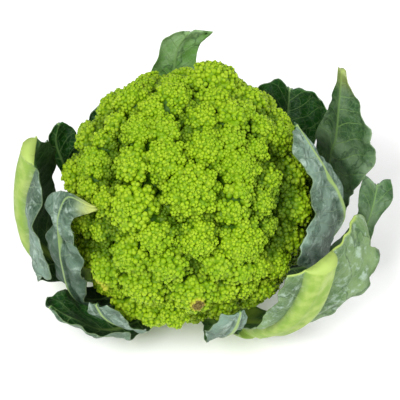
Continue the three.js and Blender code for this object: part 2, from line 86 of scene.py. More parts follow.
# Florets on the seen side: (across, up, width, how far the tip stands above the head's radius)
FRONT_FLORETS = [
    (-58, 20, 25, 0), (-61, 5, 18, -2), (-33, 20, 24, 0), (-45, 45, 17, -3), (-53, 34, 16, -3),
    (-33, 59, 20, 2), (-30, 40, 20, 0), (-20, 53, 17, 0), (-10, 59, 22, 2), (-15, 40, 17, 0),
    (-13, 23, 27, 2), (15, 70, 32, 5), (27, 49, 18, 0), (35, 52, 16, -2), (47, 42, 20, -3),
    (27, 34, 16, 0), (43, 29, 14, -3), (12, 29, 20, 1), (32, 17, 24, 1), (3, 4, 38, 3),
    (32, 2, 15, 0), (53, 11, 21, -5), (48, -4, 22, -4), (29, -8, 16, 0), (51, -20, 17, -6),
    (-34, -8, 31, 2), (-55, -22, 18, -5), (-20, -26, 16, 1), (-35, -37, 28, 0), (-49, -47, 21, 1),
    (-11, -43, 20, 1), (-27, -56, 25, 2), (-35, -66, 17, 3), (-21, -70, 16, 3), (-8, -70, 16, 3),
    (4, -60, 30, 3), (7, -28, 21, 1), (34, -30, 34, 2), (20, -43, 15, 0), (32, -46, 14, 0),
    (42, -44, 13, -1), (46, -55, 17, 1), (54, -43, 16, 0), (23, -59, 18, -2), (-52, -5, 16, -2),
]
HIDDEN_FLORETS = 100
HIDDEN_WIDTH = 25
HIDDEN_WIDTH_RANGE = (0.85, 1.15)
CLOSEST_FLORETS = 0.64
FAR_COSINE = 0.8
FLORET_DEPTH_RATIO = 0.84
DOME_POINT = 0.35

# Buds spiral out from a floret's tip and grow toward its foot.
# BUD_WIDTH is (least, more for each millimetre of the floret's half width).
FLORET_REACH = 2.2
SPIRAL_STEPS = 300
BUD_WIDTH = (5.2, 0.22)
BUD_SHARES = (0.09, 1.1)
BUD_GROWTH = 0.55
BUD_PACKING = 0.8
BUD_SINK = 2.1
BUD_JITTER = 0.11
FIRST_BUD = 0.3

# A bud is a cone of pearls round a plain body, both sized in shares of its width or height.
# PEARL_WIDTH is drawn for each floret. PEARL_RANGE is how few and how many a bud may have.
BUD_HEIGHT = 0.7
BUD_CURVE = 1.4
BUD_FOOT = 0.52
# BODY_LOW gives a bud's plain body the painted shade of its foot
BODY_HALF, BODY_HEIGHT, BODY_LOW = 0.54, 0.8, 0.9
PEARL_WIDTH = (1.65, 2.7)
PEARL_RANGE = (5, 22)
PEARL_GROWTH = 0.78
PEARL_SPREAD = 0.73
PEARL_RISE = 0.85
PEARL_JITTER = (0.9, 1.12)
FIRST_PEARL = 0.4
CURD_PIECES = 6

# A pearl is a dome: its tip's height, then rings of (radius, height, turn in steps, tone).
# The tone runs from painted highlight at the tip (1) to painted shade between pearls at the base (0).
PEARL_TIP = 0.95
PEARL_SIDES = 6
PEARL_RINGS = ((0.7, 0.55, 0.0, 0.7), (1.02, -0.4, 0.5, 0.0))
UV_CELL_HALF = 0.44

# Painted shade darkens the gaps between florets, from one depth below the head's radius to another
DEEP_FROM, DEEP_TO = 2, 13

# Bruises on the seen side: (across, up, radius, strength)
BRUISES = [(6, -59, 6, 1.0), (-48, -50, 8, 0.5)]
BRUISE_LIFT = 1.05
BRUISE_HEART = 0.3

# The core under the pearls, with branches below the rim
CORE_ROWS, CORE_COLUMNS = 150, 240
CORE_SINK = 0.5
POLE_GAP = 0.001
RIM_BLEND = (0.02, 0.05)
UNDERSIDE_OVERLAP = 0.1
NECK_BLEND = 0.2
BRANCHES = 11
BRANCH_DEPTH = 4.4
BRANCH_ROUNDING = 0.6

# The turned stem: (radius, height), from the middle of the cut face to the middle of the top
STEM_SIDES = 96
STEM_PROFILE = [
    (0, 0), (8, 0), (16, 0), (21, 0), (STEM_RADIUS - 3, 0), (STEM_RADIUS - 1.5, 1.5),
    (STEM_RADIUS, 5), (STEM_RADIUS, 9), (STEM_RADIUS, 14), (STEM_RADIUS, 20), (STEM_RADIUS, 26),
    (STEM_RADIUS - 0.8, 30), (STEM_RADIUS - 2, STEM_HEIGHT), (12, STEM_HEIGHT), (0, STEM_HEIGHT),
]
FIBRE_DEPTH = 0.35
SCAR_DEPTH = 0.5

# A leaf's blade. RIB_SHARES are the points across half a rib, as shares of its half width.
# FRINGE and NICKS are cut out of its edge, as shares of its width.
BLADE_THICKNESS = 0.8
EDGE_THINNING = 0.35
LEAST_BLADE = 1.2
RIB_SHARES = np.array([0.22, 0.42, 0.6, 0.75, 0.87, 0.96])
STOUT_RIB = (3.5, 7.5)
FLUTE_DEPTH = 0.03
QUILT_HEIGHT = 1.4
WRINKLE_HEIGHT = 2.4
FINE_RUFFLE = (0.35, 2.7)
EDGES_OUT_OF_STEP = 1.7
FRINGE = 0.06
NICKS = 0.03
FOLD_WIDTH = 0.045
CREASE_WIDTH = 0.02
CREASE_SHADE = 0.25
YELLOW_FROM = 0.88

# Side veins lean and bend toward the tip; cross veins run along the leaf and out
VEIN_LEAN = 0.7
VEIN_BEND = 0.004
CROSS_ALONG, CROSS_OUT = 0.35, 1.1
CROSS_PITCH = 0.6
SIDE_WANDER, CROSS_WANDER = 0.12, 0.25

# Each kind of vein as a line: (half width as a share of the pitch, strength)
VEIN_LINES = {"side_vein": (0.055, 0.85), "cross_vein": (0.05, 0.4)}

# A leaf is drawn by its midrib and its two edges, each a smooth line through a few places.
# A place is (degrees round the stem, distance from the axis, height above the cut face).
# plus is the edge on the side where the degrees grow, minus the other one.
# rib is (half width, depth) at the stalk's foot and at the tip. bulge bows the blade outward.
# ruffle is (height, waves) at the edges, teeth is (share of the width, count).
LEAF_DEFAULTS = dict(
    bare=0.2,  # share of the midrib that is only stalk
    pitch=10,  # space between side veins
    rows=72,  # of points along the leaf
    columns=15,  # of points across each half, beyond the rib
    cut=0,  # 1 where the tip is a cut face
    fold=(0, 0),  # a dent across: share of the length, depth
    shade=(1, 0),  # the darker part: up to this share of the length, strength
    yellow=0,  # how yellow the tip is
    rib_shows=1,  # how pale a slender rib is
)
LEAVES = dict(
    leaf_left_outer=dict(
        midrib=[(178, 26.8, 13), (178, 46, 12), (178, 63, 14), (178, 78, 21), (178, 88, 34), (178, 92, 54),
            (178, 92, 76), (178, 89, 100), (178, 84, 122)],
        plus=[(188, 60, 18), (193, 80, 24), (197, 90, 37), (203, 90, 50), (209, 88, 59), (211, 87, 68),
            (205, 89, 80), (199, 87, 92), (194, 82, 104), (189, 81, 114), (183, 83, 121)],
        minus=[(168, 60, 18), (164, 78, 28), (161, 84, 44), (159, 82, 62), (158, 80, 80), (159, 79, 94),
            (163, 80, 107), (172, 83, 119)],
        look="waxy", bare=0.17, rib=(9, 7, 9, 7), bulge=3, ruffle=(1.4, 4), teeth=(0.08, 5), pitch=13,
        rows=84, columns=18, cut=1,
    ),
    leaf_left_front=dict(
        midrib=[(213, 26.8, 25), (213, 45, 26), (213, 60, 30), (214, 72, 42), (214, 78, 58), (213, 80, 78),
            (211, 80, 98), (208, 77, 115), (208, 71, 127), (215, 67, 129), (221, 65, 129)],
        plus=[(221, 52, 29), (223, 66, 38), (225, 75, 54), (224, 78, 76), (223, 78, 94), (220, 76, 107),
            (215, 76, 114), (217, 71, 121), (222, 66, 127)],
        minus=[(206, 52, 29), (204, 68, 39), (204, 79, 56), (202, 83, 74), (201, 83, 90), (199, 81, 102),
            (196, 78, 113), (199, 75, 123), (207, 71, 129), (216, 67, 131), (222, 65, 131)],
        look="waxy", bare=0.18, rib=(4, 4, 1, 0.8), bulge=1.5, ruffle=(1.4, 5), teeth=(0.1, 6), rows=96,
        columns=16, fold=(0.63, 3.0), shade=(0.62, 0.75), yellow=0.9, rib_shows=0.4,
    ),
    leaf_left_low=dict(
        midrib=[(228, 26.8, 12), (228, 45, 12), (227, 60, 16), (224, 73, 26), (220, 82, 38), (216, 88, 44),
            (213, 92, 49)],
        plus=[(240, 48, 16), (243, 60, 25), (242, 71, 37), (238, 79, 45), (230, 86, 47), (223, 91, 48),
            (216, 92, 51)],
        minus=[(207, 48, 20), (201, 58, 24), (199, 70, 29), (200, 80, 34), (203, 87, 39), (208, 92, 45)],
        look="dark", rib=(8, 6, 1.6, 1.2), bulge=3, ruffle=(2, 3), teeth=(0.08, 4),
    ),
    leaf_left_small=dict(
        midrib=[(240, 26.8, 25), (240, 45, 27), (239, 60, 33), (236, 70, 45), (233, 77, 58), (231, 79, 68)],
        plus=[(248, 50, 29), (250, 62, 37), (250, 72, 52), (245, 77, 66), (237, 79, 74)],
        minus=[(232, 50, 29), (231, 63, 36), (228, 75, 47), (226, 80, 56), (227, 81, 65)],
        look="waxy", rib=(4.5, 4, 1.4, 1), bulge=2, ruffle=(1, 3), teeth=(0.08, 3),
    ),
    leaf_left_back=dict(
        midrib=[(152, 26.8, 25), (152, 45, 26), (152, 61, 30), (152, 74, 45), (152, 82, 63), (151, 88, 81),
            (149, 87, 94)],
        plus=[(158, 56, 30), (156, 72, 44), (155, 82, 62), (155, 88, 77), (154, 90, 88), (151, 88, 96)],
        minus=[(143, 56, 30), (141, 70, 44), (142, 79, 62), (143, 79, 78), (144, 82, 89), (147, 86, 95)],
        look="dark", rib=(6, 4.5, 1.6, 1.2), bulge=2, ruffle=(1.6, 3), teeth=(0.1, 4),
    ),
    leaf_back_low=dict(
        midrib=[(125, 26.8, 13), (125, 45, 12), (125, 62, 18), (125, 77, 32), (125, 85, 50), (124, 87, 66),
            (123, 88, 80)],
        plus=[(138, 50, 15), (146, 64, 21), (150, 78, 29), (150, 87, 40), (145, 88, 52), (137, 87, 64),
            (130, 88, 76)],
        minus=[(113, 50, 15), (107, 64, 22), (104, 78, 34), (102, 88, 48), (105, 90, 62), (114, 89, 76)],
        look="dark", rib=(8, 6, 1.8, 1.4), bulge=3, ruffle=(1.8, 3), teeth=(0.1, 4),
    ),
    leaf_back=dict(
        midrib=[(98, 26.8, 25), (98, 45, 26), (98, 60, 31), (97, 73, 46), (97, 81, 66), (96, 86, 90),
            (94, 90, 110), (90, 92, 121)],
        plus=[(113, 56, 31), (117, 70, 44), (117, 79, 62), (111, 83, 84), (103, 88, 106), (99, 90, 119),
            (92, 92, 123)],
        minus=[(83, 56, 31), (79, 70, 44), (78, 79, 62), (84, 83, 84), (86, 89, 104), (83, 96, 112),
            (80, 97, 118)],
        look="pale", bare=0.18, rib=(7, 5, 1.6, 1.2), bulge=2, ruffle=(1.4, 3), teeth=(0.08, 3),
    ),
    leaf_back_side=dict(
        midrib=[(75, 26.8, 13), (75, 45, 12), (75, 62, 17), (75, 79, 30), (75, 90, 47), (75, 93, 68),
            (75, 93, 90)],
        plus=[(83, 50, 15), (91, 64, 21), (95, 80, 33), (97, 92, 49), (93, 95, 67), (84, 94, 84)],
        minus=[(69, 50, 15), (66, 64, 21), (64, 81, 33), (65, 93, 49), (67, 95, 67), (70, 94, 84)],
        look="dark", rib=(4.2, 5, 1.8, 1.4), bulge=3, ruffle=(1.8, 3), teeth=(0.1, 4),
    ),
    leaf_back_right=dict(
        midrib=[(51, 26.8, 13), (51, 45, 12), (51, 62, 18), (51, 77, 32), (50, 86, 50), (50, 91, 70),
            (50, 92, 95)],
        plus=[(57, 50, 15), (59, 64, 21), (60, 78, 34), (62, 85, 50), (64, 87, 66), (65, 87, 80),
            (62, 87, 93), (56, 90, 98)],
        minus=[(45, 50, 15), (42, 66, 21), (41, 82, 35), (39, 95, 51), (37, 102, 70), (37, 104, 86),
            (41, 102, 96)],
        look="dark", bare=0.18, rib=(4.2, 5, 1.8, 1.4), bulge=3, ruffle=(2, 3), teeth=(0.08, 4),
    ),
    leaf_right_back=dict(
        midrib=[(26, 26.8, 13), (26, 45, 12), (26, 62, 17), (26, 78, 30), (26, 88, 48), (26, 93, 68),
            (26, 95, 88), (27, 96, 108), (28, 97, 139)],
        plus=[(32, 50, 15), (35, 66, 20), (36, 82, 32), (37, 91, 48), (37, 93, 66), (36, 94, 82),
            (34, 95, 97), (32, 96, 112), (29, 97, 137)],
        minus=[(20, 50, 15), (17, 66, 18), (14, 84, 29), (11, 95, 46), (9, 99, 62), (9, 102, 77),
            (11, 110, 90), (15, 110, 103), (21, 104, 114), (26, 99, 136)],
        look="grey", bare=0.16, rib=(4.2, 5, 2.6, 2.2), bulge=2, ruffle=(2.2, 4), teeth=(0.1, 4), pitch=12,
        rows=90, columns=18, fold=(0.55, 2.0), yellow=0.5,
    ),
    leaf_right_outer=dict(
        midrib=[(1, 26.8, 13), (1, 45, 11), (1, 62, 13), (1, 82, 22), (1, 96, 38), (1, 103, 54),
            (2, 106, 70), (4, 108, 84)],
        plus=[(7, 50, 13), (7, 66, 17), (6, 85, 28), (5, 94, 44), (4, 96, 58), (4, 97, 70), (5, 98, 82),
            (6, 100, 90)],
        minus=[(355, 50, 13), (353, 68, 15), (353, 90, 24), (354, 104, 40), (357, 106, 50), (359, 109, 64),
            (2, 119, 78), (6, 117, 87)],
        look="grey", bare=0.18, rib=(4.2, 5, 1.6, 1.2), bulge=2, ruffle=(1.6, 3), teeth=(0.1, 3),
    ),
    leaf_right_inner=dict(
        midrib=[(357, 26.8, 25), (357, 45, 26), (357, 60, 31), (357, 73, 44), (357, 82, 60), (356, 86, 77),
            (356, 81, 97), (356, 74, 114), (357, 66, 130), (3, 58, 142)],
        plus=[(6, 56, 31), (9, 70, 44), (9, 80, 60), (8, 88, 76), (7, 85, 91), (8, 80, 101), (7, 73, 113),
            (6, 64, 131), (4, 59, 142)],
        minus=[(348, 56, 31), (344, 70, 44), (340, 80, 58), (331, 83, 70), (321, 81, 80), (316, 78, 90),
            (318, 77, 100), (328, 77, 105), (337, 75, 111), (341, 70, 122), (344, 63, 133), (347, 56, 143),
            (2, 57, 143)],
        look="waxy", bare=0.16, rib=(7, 5, 1.8, 1.4), bulge=1.5, ruffle=(1.2, 3), teeth=(0.06, 4), pitch=11,
        rows=96, columns=20, fold=(0.7, 2.2), shade=(0.4, 0.5),
    ),
    leaf_right_front=dict(
        midrib=[(310, 26.8, 13), (310, 44, 15), (311, 58, 22), (314, 71, 36), (318, 82, 54), (321, 87, 75),
            (323, 90, 98)],
        plus=[(319, 50, 16), (322, 66, 23), (327, 87, 31), (333, 102, 45), (340, 111, 53), (346, 114, 64),
            (350, 107, 77), (354, 101, 84), (354, 95, 88)],
        minus=[(299, 50, 22), (298, 62, 33), (298, 73, 47), (299, 79, 60), (302, 82, 73), (305, 83, 85),
            (308, 83, 96)],
        look="green", bare=0.18, rib=(11, 8, 11, 8), bulge=4, ruffle=(1.6, 3), teeth=(0.1, 6), pitch=14,
        rows=90, columns=20, cut=1,
    ),
    leaf_front_small=dict(
        midrib=[(287, 26.8, 25), (287, 45, 26), (288, 58, 32), (289, 69, 47), (290, 76, 63), (291, 79, 78)],
        plus=[(293, 54, 32), (293, 66, 42), (294, 75, 55), (295, 79, 66), (293, 79, 79)],
        minus=[(278, 54, 31), (277, 67, 42), (276, 76, 56), (277, 79, 68), (283, 79, 79)],
        look="waxy", rib=(6, 4.5, 1.4, 1.2), bulge=1.5, ruffle=(1.2, 3), teeth=(0.1, 3),
    ),
)

# Colours as red, green and blue in 0 to 255
COLOURS = dict(
    pearl=(134, 166, 6), painted_pearl_highlight=(147, 178, 20), painted_shade_between_pearls=(90, 134, 2),
    painted_bud_tip_light=(160, 184, 42), painted_bud_foot_shade=(64, 112, 0), curd_patch=(104, 146, 2),
    pale_pearl=(166, 188, 48), painted_gap_shade=(30, 72, 0), branch=(180, 198, 118),
    bruise_edge=(166, 168, 48), bruise_heart=(108, 96, 42),
    blade_patch=(26, 60, 30), speck=(134, 156, 138), scuff=(170, 190, 176),
    crease_painted_shade=(28, 54, 34), vein_inside=(112, 146, 84), vein_outside=(126, 150, 116),
    shade=(30, 58, 34), blade_edge=(158, 176, 120), stalk=(126, 158, 54),
    stalk_streak=(156, 178, 88), slender_rib=(142, 170, 98), cut_rib=(160, 184, 92),
    yellow_tip=(166, 176, 84),
    stem=(164, 186, 106), stem_fibre=(206, 218, 160), stem_patch=(150, 160, 84),
    cut_face=(236, 232, 204), cut_ring=(206, 214, 152), cut_rind=(170, 186, 112),
    cut_stain=(190, 164, 112),
    table=(250, 250, 250), table_light=(255, 255, 255),
)

# Each look of a leaf: inner and outer face as (ground, patches), and how rough it is
LEAF_LOOKS = dict(
    waxy=(((34, 76, 28), (66, 96, 60)), ((56, 82, 62), (114, 140, 124)), 0.5),
    dark=(((18, 64, 14), (38, 90, 30)), ((50, 84, 50), (86, 116, 88)), 0.36),
    grey=(((60, 94, 54), (112, 138, 104)), ((64, 96, 68), (108, 134, 112)), 0.42),
    pale=(((86, 128, 58), (130, 162, 110)), ((92, 122, 84), (130, 152, 124)), 0.42),
    green=(((46, 96, 34), (84, 124, 66)), ((66, 100, 48), (112, 138, 88)), 0.46),
)
ROUGHNESS_SPREAD = 0.16


def linear(red, green, blue):
    """A colour in 0 to 255 as Blender's linear one, by the sRGB curve."""
    channels = []
    for value in (red, green, blue):
        share = value / 255
        channels.append(share / 12.92 if share <= 0.04045 else ((share + 0.055) / 1.055) ** 2.4)
    return (*channels, 1.0)


def unit(vectors):
    return vectors / np.maximum(np.linalg.norm(vectors, axis=-1, keepdims=True), 1e-9)


def smoothstep(low, high, values):
    share = np.clip((values - low) / (high - low), 0, 1)
    return share * share * (3 - 2 * share)


def grid_faces(rows, columns, closed):
    """Quads between rows of points. A closed grid's last column joins its first."""
    last = columns if closed else columns - 1
    row, column = np.meshgrid(np.arange(rows - 1), np.arange(last), indexing="ij")
    here = row * columns + column
    beside = row * columns + (column + 1) % columns
    return np.stack([here, here + columns, beside + columns, beside], axis=-1).reshape(-1, 4)


def add_object(name, data):
    made = bpy.data.objects.new(name, data)
    bpy.context.scene.collection.objects.link(made)
    return made


def make_piece(name, points, faces, values, material, node, uv=None):
    """A smooth mesh of points in millimetres, kept in the CAD part's box, with float attributes."""
    mesh = bpy.data.meshes.new(name)
    mesh.from_pydata(np.clip(points * MM, *cad_box).tolist(), [], faces.tolist())
    for key, numbers in values.items():
        layer = mesh.attributes.new(key, "FLOAT", "POINT")
        layer.data.foreach_set("value", np.ascontiguousarray(numbers, np.float32))
    if uv is not None:
        corners = np.empty(len(mesh.loops), np.int32)
        mesh.loops.foreach_get("vertex_index", corners)
        layer = mesh.uv_layers.new(name="OFBake")
        layer.data.foreach_set("uv", uv[corners].astype(np.float32).ravel())
    mesh.materials.append(material)
    mesh.shade_smooth()
    piece = add_object(name, mesh)
    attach(piece, "root")
    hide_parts(node)


class Look:
    """A material whose nodes are added in a few words. A colour may be a name from COLOURS."""

    def __init__(self, name):
        self.material = bpy.data.materials.new(name)
        self.material.use_nodes = True
        self.tree = self.material.node_tree
        self.shader = self.tree.nodes["Principled BSDF"]

    def join(self, socket, value):
        if isinstance(value, bpy.types.NodeSocket):
            self.tree.links.new(value, socket)
        elif isinstance(value, str):
            socket.default_value = linear(*COLOURS[value])
        else:
            socket.default_value = value

    def put(self, kind, inputs, output=0, **settings):
        made = self.tree.nodes.new("ShaderNode" + kind)
        for key, setting in settings.items():
            setattr(made, key, setting)
        for key, value in inputs.items():
            self.join(made.inputs[key], value)
        return made.outputs[output]

    def value(self, name):
        return self.put("Attribute", {}, "Fac", attribute_name=name)

    def place(self):
        return self.put("TexCoord", {}, "Object")

    def math(self, operation, first, second=0.0):
        return self.put("Math", {0: first, 1: second}, operation=operation)

    def times(self, first, second):
        return self.math("MULTIPLY", first, second)

    def apart(self, first, second):
        return self.math("ABSOLUTE", self.math("SUBTRACT", first, second))

    def ease(self, value, low, high, start=0.0, end=1.0):
        """value eased from start to end as it goes from low to high."""
        inputs = {"Value": value, "From Min": low, "From Max": high, "To Min": start, "To Max": end}
        return self.put("MapRange", inputs, interpolation_type="SMOOTHSTEP")

    def noise(self, scale, detail=3.0, roughness=0.5):
        inputs = {"Vector": self.place(), "Scale": scale, "Detail": detail, "Roughness": roughness}
        return self.put("TexNoise", inputs, "Fac")

    def mix(self, factor, first, second):
        inputs = {0: factor, 6: first, 7: second}
        return self.put("Mix", inputs, 2, data_type="RGBA", clamp_factor=True)

    def tint(self, base, colour, value, low, high, start=0.0, end=1.0):
        """base with colour laid on it, from the strength start to end as value goes low to high."""
        return self.mix(self.ease(value, low, high, start, end), base, colour)

    def bump(self, height, strength, depth):
        return self.put("Bump", {"Height": height, "Strength": strength, "Distance": depth * MM})

    def finish(self, colour, roughness, normal=None, specular=0.5):
        self.join(self.shader.inputs["Base Color"], colour)
        self.join(self.shader.inputs["Roughness"], roughness)
        self.join(self.shader.inputs["Specular IOR Level"], specular)
        if normal is not None:
            self.join(self.shader.inputs["Normal"], normal)
        return self.material


def curd_look():
    """Yellow-green pearls with painted highlights on pearl and bud tips, and painted shade, greener and
    darker, between pearls, at bud feet and in the gaps between florets.
    """
    look = Look("curd")
    tone = look.value("tone")
    low = look.value("low")
    brown = look.value("brown")
    # Painted highlight on pearl tips and painted shade between pearls, by tone
    pearl = look.mix(look.ease(tone, 0.45, 1.0), "pearl", "painted_pearl_highlight")
    skin = look.mix(look.ease(tone, 0.0, 0.5), "painted_shade_between_pearls", pearl)
    # Painted light on bud tips and painted shade at bud feet, by low
    skin = look.tint(skin, "painted_bud_tip_light", low, 0.0, 0.55, 0.4, 0.0)
    skin = look.tint(skin, "painted_bud_foot_shade", low, 0.6, 1.0, 0.0, 0.6)
    skin = look.tint(skin, "curd_patch", look.noise(38, 2), 0.4, 0.65, 0.0, 0.4)
    skin = look.tint(skin, "pale_pearl", look.value("tint"), 0.6, 1.0, 0.0, 0.35)
    # Painted shade in the gaps between florets, by deep
    skin = look.tint(skin, "painted_gap_shade", look.value("deep"), 0.15, 0.9, 0.0, 0.68)
    skin = look.mix(look.value("branch"), skin, "branch")
    bruise = look.mix(look.ease(brown, 0.45, 0.8), "bruise_edge", "bruise_heart")
    skin = look.tint(skin, bruise, brown, 0.0, 0.5)
    grain = look.bump(look.noise(1500, 2), 0.25, 0.25)
    return look.finish(skin, 0.5, grain, specular=0.2)


def vein_strength(look):
    """How much a place on a blade is vein, by the branching lines and the fine net."""
    wobble = look.times(look.math("SUBTRACT", look.noise(90, 2), 0.5), 0.22)
    fade = look.ease(look.value("reach"), 0.0, 1.0, 1.0, 0.35)
    lines = 0.0
    for key, (half, strength) in VEIN_LINES.items():
        place = look.math("FRACT", look.math("ADD", look.value(key), wobble))
        away = look.apart(place, 0.5)
        line = look.times(look.ease(away, half * 0.3, half, strength, 0.0), fade)
        lines = look.math("MAXIMUM", lines, line)
    cells = {"Vector": look.place(), "Scale": 230.0}
    net = look.put("TexVoronoi", cells, "Distance", feature="DISTANCE_TO_EDGE")
    return look.math("MAXIMUM", lines, look.ease(net, 0.0, 0.07, 0.3, 0.0))


def leaf_look(name, inner, outer, roughness):
    """A leaf: one colour inside, waxy bloom outside, pale rib and veins, a thin pale edge, and painted
    shade in thin creases, along folds and on a darker lower part.
    """
    look = Look("leaf_" + name)
    outside = look.ease(look.value("side"), 0.4, 0.6)
    rib = look.value("rib")
    clouds = look.noise(55, 4, 0.6)
    specks = look.noise(420, 3, 0.6)
    inner_skin = look.mix(look.ease(clouds, 0.38, 0.66), linear(*inner[0]), linear(*inner[1]))
    outer_skin = look.mix(look.ease(clouds, 0.36, 0.64), linear(*outer[0]), linear(*outer[1]))
    blade = look.mix(outside, inner_skin, outer_skin)
    blade = look.tint(blade, "blade_patch", look.noise(26, 2), 0.5, 0.72, 0.0, 0.6)
    blade = look.tint(blade, "speck", specks, 0.5, 0.75, 0.0, 0.25)
    scuffs = look.times(look.ease(look.noise(160, 6, 0.7), 0.5, 0.66, 0.0, 0.6), outside)
    blade = look.mix(scuffs, blade, "scuff")
    # Painted shade along thin crease lines
    crease_painted_shade = look.apart(look.noise(44, 3), 0.5)
    blade = look.tint(blade, "crease_painted_shade", crease_painted_shade, 0.0, 0.02, 0.55, 0.0)

    lines = vein_strength(look)
    vein = look.mix(outside, "vein_inside", "vein_outside")
    blade = look.mix(look.times(lines, look.ease(outside, 0.0, 1.0, 1.0, 0.7)), blade, vein)
    blade = look.mix(look.value("shade"), blade, "shade")
    blade = look.tint(blade, "blade_edge", look.value("reach"), 0.96, 1.0, 0.0, 0.2)

    stout_rib = look.mix(look.ease(look.noise(140, 3), 0.35, 0.7), "stalk", "stalk_streak")
    slender_rib = look.mix(outside, vein, "slender_rib")
    skin = look.mix(rib, blade, look.mix(look.value("stout"), slender_rib, stout_rib))
    skin = look.mix(look.value("cut"), skin, "cut_rib")
    skin = look.mix(look.value("yellow"), skin, "yellow_tip")

    crinkle = look.math("ADD", look.times(clouds, 0.8), look.times(specks, 0.25))
    furrows = look.times(lines, look.ease(rib, 0.0, 0.6, 0.5, 0.0))
    normal = look.bump(look.math("SUBTRACT", crinkle, furrows), 0.7, 1.0)
    gloss = look.ease(clouds, 0.3, 0.7, roughness, roughness + ROUGHNESS_SPREAD)
    return look.finish(skin, gloss, normal, specular=0.3)


def stem_look():
    """A fibrous pale green stem with a cream cut face that has a ring near its edge."""
    look = Look("stem")
    stretched = look.put("Mapping", {"Vector": look.place(), "Scale": (1.0, 1.0, 0.12)})
    fibres = look.put("TexNoise", {"Vector": stretched, "Scale": 520.0, "Detail": 3.0}, "Fac")
    side = look.mix(look.ease(fibres, 0.35, 0.7), "stem", "stem_fibre")
    side = look.tint(side, "stem_patch", look.noise(60, 3), 0.5, 0.7, 0.0, 0.5)
    ring = look.value("ring")
    face = look.mix(look.ease(ring, 0.72, 0.8), "cut_face", "cut_ring")
    face = look.tint(face, "cut_rind", ring, 0.86, 0.95)
    face = look.tint(face, "cut_stain", look.noise(160, 4), 0.5, 0.75, 0.0, 0.4)
    skin = look.mix(look.value("cut"), side, face)
    return look.finish(skin, look.ease(fibres, 0.3, 0.7, 0.45, 0.6), look.bump(fibres, 0.4, 0.5))


def seeded_random(seed):
    """The same draws as the CAD part makes, so that its florets and these agree."""
    mask = 0xFFFFFFFF
    state = seed
    while True:
        state = (state + 0x6D2B79F5) & mask
        mixed = ((state ^ (state >> 15)) * (1 | state)) & mask
        mixed = ((mixed + ((mixed ^ (mixed >> 7)) * (61 | mixed))) & mask) ^ mixed
        yield (mixed ^ (mixed >> 14)) / 4294967296


def seen_place(across, up):
    """The place on the head, from its centre, that the camera sees so far across and up."""
    reach = math.hypot(across, up)
    shrink = min(1, HEAD_RADIUS * LIMB_SHARE / reach)
    near = math.sqrt(HEAD_RADIUS**2 - (reach * shrink) ** 2)
    closer = shrink * (1 - near / VIEW_DISTANCE)
    return VIEW_RIGHT * across * closer + VIEW_UP * up * closer + VIEW_NEAR * near


def dome_slope(shares):
    """How steeply a dome of unit size falls, at a share of its half width from the tip."""
    return DOME_POINT + 2 * (1 - DOME_POINT) * shares


class Florets:
    """The domes that the head is made of, each with its axis, half width, top radius and depth."""

    def __init__(self):
        draw = seeded_random(11)
        axes, widths, tops = [], [], []
        for across, up, width, stand_out in FRONT_FLORETS:
            axes.append(unit(seen_place(across, up)))
            widths.append(width)
            tops.append(HEAD_RADIUS + stand_out)
        lowest = math.cos(RIM_ANGLE)
        narrowest, widest = HIDDEN_WIDTH_RANGE
        for index in range(HIDDEN_FLORETS):
            height = 1 - (1 - lowest) * ((index + 0.5) / HIDDEN_FLORETS)
            flat = math.sqrt(1 - height * height)
            turn = index * GOLDEN_ANGLE
            axis = np.array([flat * math.cos(turn), flat * math.sin(turn), height])
            part = next(draw)
            width = HIDDEN_WIDTH * ((1 - part) * narrowest + part * widest)
            apart = np.arccos(np.clip(np.array(axes) @ axis, -1, 1)) * HEAD_RADIUS
            if not np.any(apart < (np.array(widths) + width) / 2 * CLOSEST_FLORETS):
                axes.append(axis)
                widths.append(width)
                tops.append(HEAD_RADIUS - 1 - 2 * next(draw))
        self.axes = np.array(axes)
        self.halves = np.array(widths) / 2
        self.tops = np.array(tops)
        self.depths = self.halves * FLORET_DEPTH_RATIO

    def surface(self, directions):
        """Radius of the domes' common surface in each direction, and the dome met there."""
        cosines = np.clip(directions @ self.axes.T, -1, 1)
        shares = np.arccos(cosines) * HEAD_RADIUS / self.halves
        heights = self.tops - self.depths * (DOME_POINT * shares + (1 - DOME_POINT) * shares**2)
        heights[cosines < FAR_COSINE] = 0
        owners = heights.argmax(axis=1)
        radii = heights[np.arange(len(directions)), owners]
        owners[radii < CORE_RADIUS] = -1
        return np.maximum(radii, CORE_RADIUS), owners

    def normals(self, index, directions):
        """The outward normal of one dome in each direction."""
        axis = self.axes[index]
        away = directions - axis
        away = unit(away - directions * np.sum(away * directions, axis=1, keepdims=True))
        shares = np.arccos(np.clip(directions @ axis, -1, 1)) * HEAD_RADIUS / self.halves[index]
        steep = self.depths[index] * dome_slope(shares) / self.halves[index]
        return unit(directions + away * steep[:, None])


def sides_of(axis):
    """Two directions square to an axis and to each other."""
    other = np.array([0.0, 0.0, 1.0]) if abs(axis[2]) < 0.9 else np.array([1.0, 0.0, 0.0])
    side = unit(np.cross(other, axis))
    return side, np.cross(axis, side)


def bud_width(half, share):
    """Width of a bud on a floret of that half width, at a share of it from the tip."""
    least, more = BUD_WIDTH
    return (least + more * half) * np.clip(share, *BUD_SHARES) ** BUD_GROWTH


